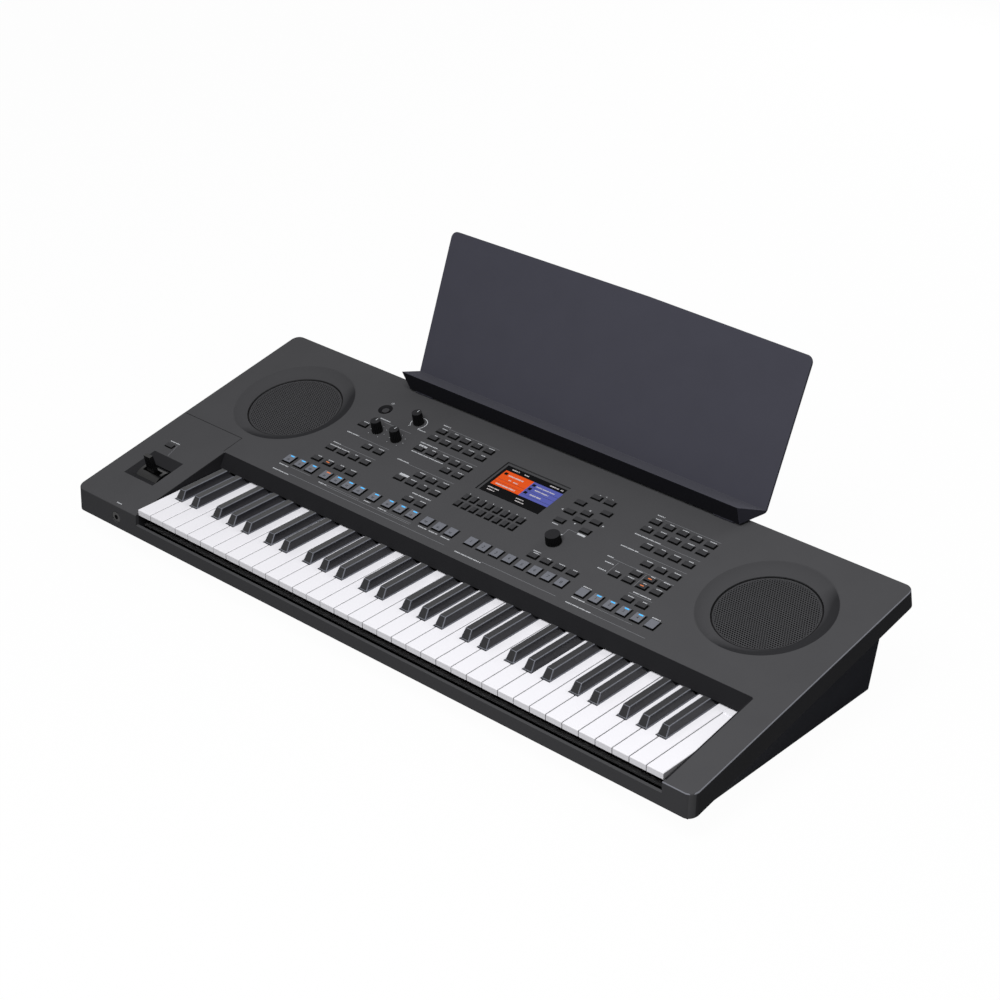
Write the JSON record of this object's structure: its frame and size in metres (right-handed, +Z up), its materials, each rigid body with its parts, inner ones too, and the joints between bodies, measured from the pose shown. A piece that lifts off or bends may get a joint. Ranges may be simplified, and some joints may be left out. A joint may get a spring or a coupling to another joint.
{
  "type": "arranger keyboard",
  "caption": "Portable arranger keyboard: piano keys hinged at the rear, sloped control panel with buttons, knobs, display, joystick and two speakers, and a lift-out music rest.",
  "frame": {"origin": "on the table, at the middle of the overall width and depth, the music rest included", "axes": "+X to the right of the player, +Y away from the player to the rear, +Z up"},
  "size_m": [1.004, 0.4845, 0.3198],
  "materials": {
    "panel_plastic": "fine matt",
    "case_plastic": "matt",
    "rest_plastic": "matt",
    "white_key": "satin",
    "black_key": "matt",
    "button_dark": "matt",
    "button_light": "matt",
    "knob": "matt",
    "grille_metal": "matt",
    "speaker_frame": "matt",
    "sheet_steel": "plain",
    "circuit_board": "plain",
    "rubber": "matt",
    "felt": "soft",
    "window": "gloss",
    "jack_plastic": "gloss"
  },
  "bodies": {
    "case": {"top_panel": "panel_plastic", "bottom_case": "case_plastic", "left_grille": "grille_metal", "right_grille": "grille_metal", "left_speaker": "speaker_frame", "right_speaker": "speaker_frame", "key_chassis": "sheet_steel", "key_contact_board": "circuit_board", "contact_rubber": "rubber", "key_stop_felt": "felt", "display_window": "window", "display_module": "case_plastic", "panel_board": "circuit_board", "main_board": "circuit_board", "rear_jacks": "jack_plastic", "jack_board": "circuit_board", "headphone_jack": "jack_plastic", "rubber_feet": "rubber", "case_screws": "sheet_steel", "joystick_bracket": "case_plastic"},
    "octave1_keys_cegb": {"octave1_keys_cegb": "white_key"},
    "octave1_keys_dfa": {"octave1_keys_dfa": "white_key"},
    "octave1_keys_black": {"octave1_keys_black": "black_key"},
    "octave2_keys_cegb": {"octave2_keys_cegb": "white_key"},
    "octave2_keys_dfa": {"octave2_keys_dfa": "white_key"},
    "octave2_keys_black": {"octave2_keys_black": "black_key"},
    "octave3_keys_cegb": {"octave3_keys_cegb": "white_key"},
    "octave3_keys_dfa": {"octave3_keys_dfa": "white_key"},
    "octave3_keys_black": {"octave3_keys_black": "black_key"},
    "octave4_keys_cegb": {"octave4_keys_cegb": "white_key"},
    "octave4_keys_dfa": {"octave4_keys_dfa": "white_key"},
    "octave4_keys_black": {"octave4_keys_black": "black_key"},
    "octave5_keys_cegb": {"octave5_keys_cegb": "white_key"},
    "octave5_keys_dfa": {"octave5_keys_dfa": "white_key"},
    "octave5_keys_black": {"octave5_keys_black": "black_key"},
    "top_c_key": {"top_c_key": "white_key"},
    "accompaniment_buttons": {"accompaniment_buttons": "button_dark"},
    "style_control_buttons": {"style_control_buttons": "button_light"},
    "function_buttons": {"function_buttons": "button_dark"},
    "style_buttons": {"style_buttons": "button_dark"},
    "song_buttons": {"song_buttons": "button_dark"},
    "display_buttons": {"display_buttons": "button_dark"},
    "registration_buttons": {"registration_buttons": "button_light"},
    "memory_buttons": {"memory_buttons": "button_dark"},
    "menu_buttons": {"menu_buttons": "button_dark"},
    "voice_buttons": {"voice_buttons": "button_dark"},
    "one_touch_buttons": {"one_touch_buttons": "button_dark"},
    "effect_buttons": {"effect_buttons": "button_dark"},
    "part_buttons": {"part_buttons": "button_dark"},
    "octave_buttons": {"octave_buttons": "button_dark"},
    "pad_buttons": {"pad_buttons": "button_light"},
    "joystick_button": {"joystick_button": "button_dark"},
    "power_button": {"power_button": "button_dark"},
    "control_knob_a": {"control_knob_a": "knob"},
    "control_knob_b": {"control_knob_b": "knob"},
    "volume_knob": {"volume_knob": "knob"},
    "data_dial": {"data_dial": "knob"},
    "joystick_drum": {"joystick_drum": "knob"},
    "joystick_lever": {"joystick_lever": "knob"},
    "music_rest": {"music_rest": "rest_plastic"}
  },
  "joints": [
    {"name": "octave1_keys_cegb_press", "type": "hinge", "parent": "case", "child": "octave1_keys_cegb", "pos_m": [0, -0.06064, 0.062], "axis": [1, 0, 0], "range_deg": [0, 3.2], "stiffness_Nm_per_rad": 4, "springref_deg": -5.73},
    {"name": "octave1_keys_dfa_press", "type": "hinge", "parent": "case", "child": "octave1_keys_dfa", "pos_m": [0, -0.06064, 0.062], "axis": [1, 0, 0], "range_deg": [0, 3.2], "stiffness_Nm_per_rad": 3, "springref_deg": -5.73},
    {"name": "octave1_keys_black_press", "type": "hinge", "parent": "case", "child": "octave1_keys_black", "pos_m": [0, -0.06064, 0.062], "axis": [1, 0, 0], "range_deg": [0, 3.2], "stiffness_Nm_per_rad": 5, "springref_deg": -5.73},
    {"name": "octave2_keys_cegb_press", "type": "hinge", "parent": "case", "child": "octave2_keys_cegb", "pos_m": [0, -0.06064, 0.062], "axis": [1, 0, 0], "range_deg": [0, 3.2], "stiffness_Nm_per_rad": 4, "springref_deg": -5.73},
    {"name": "octave2_keys_dfa_press", "type": "hinge", "parent": "case", "child": "octave2_keys_dfa", "pos_m": [0, -0.06064, 0.062], "axis": [1, 0, 0], "range_deg": [0, 3.2], "stiffness_Nm_per_rad": 3, "springref_deg": -5.73},
    {"name": "octave2_keys_black_press", "type": "hinge", "parent": "case", "child": "octave2_keys_black", "pos_m": [0, -0.06064, 0.062], "axis": [1, 0, 0], "range_deg": [0, 3.2], "stiffness_Nm_per_rad": 5, "springref_deg": -5.73},
    {"name": "octave3_keys_cegb_press", "type": "hinge", "parent": "case", "child": "octave3_keys_cegb", "pos_m": [0, -0.06064, 0.062], "axis": [1, 0, 0], "range_deg": [0, 3.2], "stiffness_Nm_per_rad": 4, "springref_deg": -5.73},
    {"name": "octave3_keys_dfa_press", "type": "hinge", "parent": "case", "child": "octave3_keys_dfa", "pos_m": [0, -0.06064, 0.062], "axis": [1, 0, 0], "range_deg": [0, 3.2], "stiffness_Nm_per_rad": 3, "springref_deg": -5.73},
    {"name": "octave3_keys_black_press", "type": "hinge", "parent": "case", "child": "octave3_keys_black", "pos_m": [0, -0.06064, 0.062], "axis": [1, 0, 0], "range_deg": [0, 3.2], "stiffness_Nm_per_rad": 5, "springref_deg": -5.73},
    {"name": "octave4_keys_cegb_press", "type": "hinge", "parent": "case", "child": "octave4_keys_cegb", "pos_m": [0, -0.06064, 0.062], "axis": [1, 0, 0], "range_deg": [0, 3.2], "stiffness_Nm_per_rad": 4, "springref_deg": -5.73},
    {"name": "octave4_keys_dfa_press", "type": "hinge", "parent": "case", "child": "octave4_keys_dfa", "pos_m": [0, -0.06064, 0.062], "axis": [1, 0, 0], "range_deg": [0, 3.2], "stiffness_Nm_per_rad": 3, "springref_deg": -5.73},
    {"name": "octave4_keys_black_press", "type": "hinge", "parent": "case", "child": "octave4_keys_black", "pos_m": [0, -0.06064, 0.062], "axis": [1, 0, 0], "range_deg": [0, 3.2], "stiffness_Nm_per_rad": 5, "springref_deg": -5.73},
    {"name": "octave5_keys_cegb_press", "type": "hinge", "parent": "case", "child": "octave5_keys_cegb", "pos_m": [0, -0.06064, 0.062], "axis": [1, 0, 0], "range_deg": [0, 3.2], "stiffness_Nm_per_rad": 4, "springref_deg": -5.73},
    {"name": "octave5_keys_dfa_press", "type": "hinge", "parent": "case", "child": "octave5_keys_dfa", "pos_m": [0, -0.06064, 0.062], "axis": [1, 0, 0], "range_deg": [0, 3.2], "stiffness_Nm_per_rad": 3, "springref_deg": -5.73},
    {"name": "octave5_keys_black_press", "type": "hinge", "parent": "case", "child": "octave5_keys_black", "pos_m": [0, -0.06064, 0.062], "axis": [1, 0, 0], "range_deg": [0, 3.2], "stiffness_Nm_per_rad": 5, "springref_deg": -5.73},
    {"name": "top_c_key_press", "type": "hinge", "parent": "case", "child": "top_c_key", "pos_m": [0, -0.06064, 0.062], "axis": [1, 0, 0], "range_deg": [0, 3.2], "stiffness_Nm_per_rad": 1, "springref_deg": -5.73},
    {"name": "accompaniment_buttons_press", "type": "slide", "parent": "case", "child": "accompaniment_buttons", "axis": [0, 0.181, -0.9835], "range_m": [0, 0.0012], "stiffness_N_per_m": 1000, "springref_m": -0.0006},
    {"name": "style_control_buttons_press", "type": "slide", "parent": "case", "child": "style_control_buttons", "axis": [0, 0.181, -0.9835], "range_m": [0, 0.0012], "stiffness_N_per_m": 1000, "springref_m": -0.0006},
    {"name": "function_buttons_press", "type": "slide", "parent": "case", "child": "function_buttons", "axis": [0, 0.181, -0.9835], "range_m": [0, 0.0012], "stiffness_N_per_m": 1000, "springref_m": -0.0006},
    {"name": "style_buttons_press", "type": "slide", "parent": "case", "child": "style_buttons", "axis": [0, 0.181, -0.9835], "range_m": [0, 0.0012], "stiffness_N_per_m": 1000, "springref_m": -0.0006},
    {"name": "song_buttons_press", "type": "slide", "parent": "case", "child": "song_buttons", "axis": [0, 0.181, -0.9835], "range_m": [0, 0.0012], "stiffness_N_per_m": 1000, "springref_m": -0.0006},
    {"name": "display_buttons_press", "type": "slide", "parent": "case", "child": "display_buttons", "axis": [0, 0.181, -0.9835], "range_m": [0, 0.0012], "stiffness_N_per_m": 1000, "springref_m": -0.0006},
    {"name": "registration_buttons_press", "type": "slide", "parent": "case", "child": "registration_buttons", "axis": [0, 0.181, -0.9835], "range_m": [0, 0.0012], "stiffness_N_per_m": 1000, "springref_m": -0.0006},
    {"name": "memory_buttons_press", "type": "slide", "parent": "case", "child": "memory_buttons", "axis": [0, 0.181, -0.9835], "range_m": [0, 0.0012], "stiffness_N_per_m": 1000, "springref_m": -0.0006},
    {"name": "menu_buttons_press", "type": "slide", "parent": "case", "child": "menu_buttons", "axis": [0, 0.181, -0.9835], "range_m": [0, 0.0012], "stiffness_N_per_m": 1000, "springref_m": -0.0006},
    {"name": "voice_buttons_press", "type": "slide", "parent": "case", "child": "voice_buttons", "axis": [0, 0.181, -0.9835], "range_m": [0, 0.0012], "stiffness_N_per_m": 1000, "springref_m": -0.0006},
    {"name": "one_touch_buttons_press", "type": "slide", "parent": "case", "child": "one_touch_buttons", "axis": [0, 0.181, -0.9835], "range_m": [0, 0.0012], "stiffness_N_per_m": 1000, "springref_m": -0.0006},
    {"name": "effect_buttons_press", "type": "slide", "parent": "case", "child": "effect_buttons", "axis": [0, 0.181, -0.9835], "range_m": [0, 0.0012], "stiffness_N_per_m": 1000, "springref_m": -0.0006},
    {"name": "part_buttons_press", "type": "slide", "parent": "case", "child": "part_buttons", "axis": [0, 0.181, -0.9835], "range_m": [0, 0.0012], "stiffness_N_per_m": 1000, "springref_m": -0.0006},
    {"name": "octave_buttons_press", "type": "slide", "parent": "case", "child": "octave_buttons", "axis": [0, 0.181, -0.9835], "range_m": [0, 0.0012], "stiffness_N_per_m": 1000, "springref_m": -0.0006},
    {"name": "pad_buttons_press", "type": "slide", "parent": "case", "child": "pad_buttons", "axis": [0, 0.181, -0.9835], "range_m": [0, 0.0012], "stiffness_N_per_m": 1000, "springref_m": -0.0006},
    {"name": "joystick_button_press", "type": "slide", "parent": "case", "child": "joystick_button", "axis": [0, 0.181, -0.9835], "range_m": [0, 0.0012], "stiffness_N_per_m": 1000, "springref_m": -0.0006},
    {"name": "power_button_press", "type": "slide", "parent": "case", "child": "power_button", "axis": [0, 0.181, -0.9835], "range_m": [0, 0.0012], "stiffness_N_per_m": 1000, "springref_m": -0.0006},
    {"name": "control_knob_a_turn", "type": "hinge", "parent": "case", "child": "control_knob_a", "pos_m": [-0.2439, 0.04615, 0.11492], "axis": [0, -0.181, 0.9835], "range_deg": [-140, 140]},
    {"name": "control_knob_b_turn", "type": "hinge", "parent": "case", "child": "control_knob_b", "pos_m": [-0.2093, 0.04487, 0.11468], "axis": [0, -0.181, 0.9835], "range_deg": [-140, 140]},
    {"name": "volume_knob_turn", "type": "hinge", "parent": "case", "child": "volume_knob", "pos_m": [-0.2092, 0.08628, 0.1223], "axis": [0, -0.181, 0.9835], "range_deg": [-140, 140]},
    {"name": "data_dial_turn", "type": "hinge", "parent": "case", "child": "data_dial", "pos_m": [0.1008, -0.00401, 0.10568], "axis": [0, -0.181, 0.9835], "continuous": true},
    {"name": "joystick_drum_rock", "type": "hinge", "parent": "case", "child": "joystick_drum", "pos_m": [-0.4424, -0.15849, 0.04979], "axis": [1, 0, 0], "range_deg": [-20, 20], "stiffness_Nm_per_rad": 0.4},
    {"name": "joystick_lever_swing", "type": "hinge", "parent": "joystick_drum", "child": "joystick_lever", "pos_m": [-0.4424, -0.15849, 0.04979], "axis": [0, 0.9835, 0.181], "range_deg": [-15, 15], "stiffness_Nm_per_rad": 0.2},
    {"name": "music_rest_lift", "type": "slide", "parent": "case", "child": "music_rest", "axis": [0, 0.3923, 0.9198], "range_m": [0, 0.03]}
  ]
}
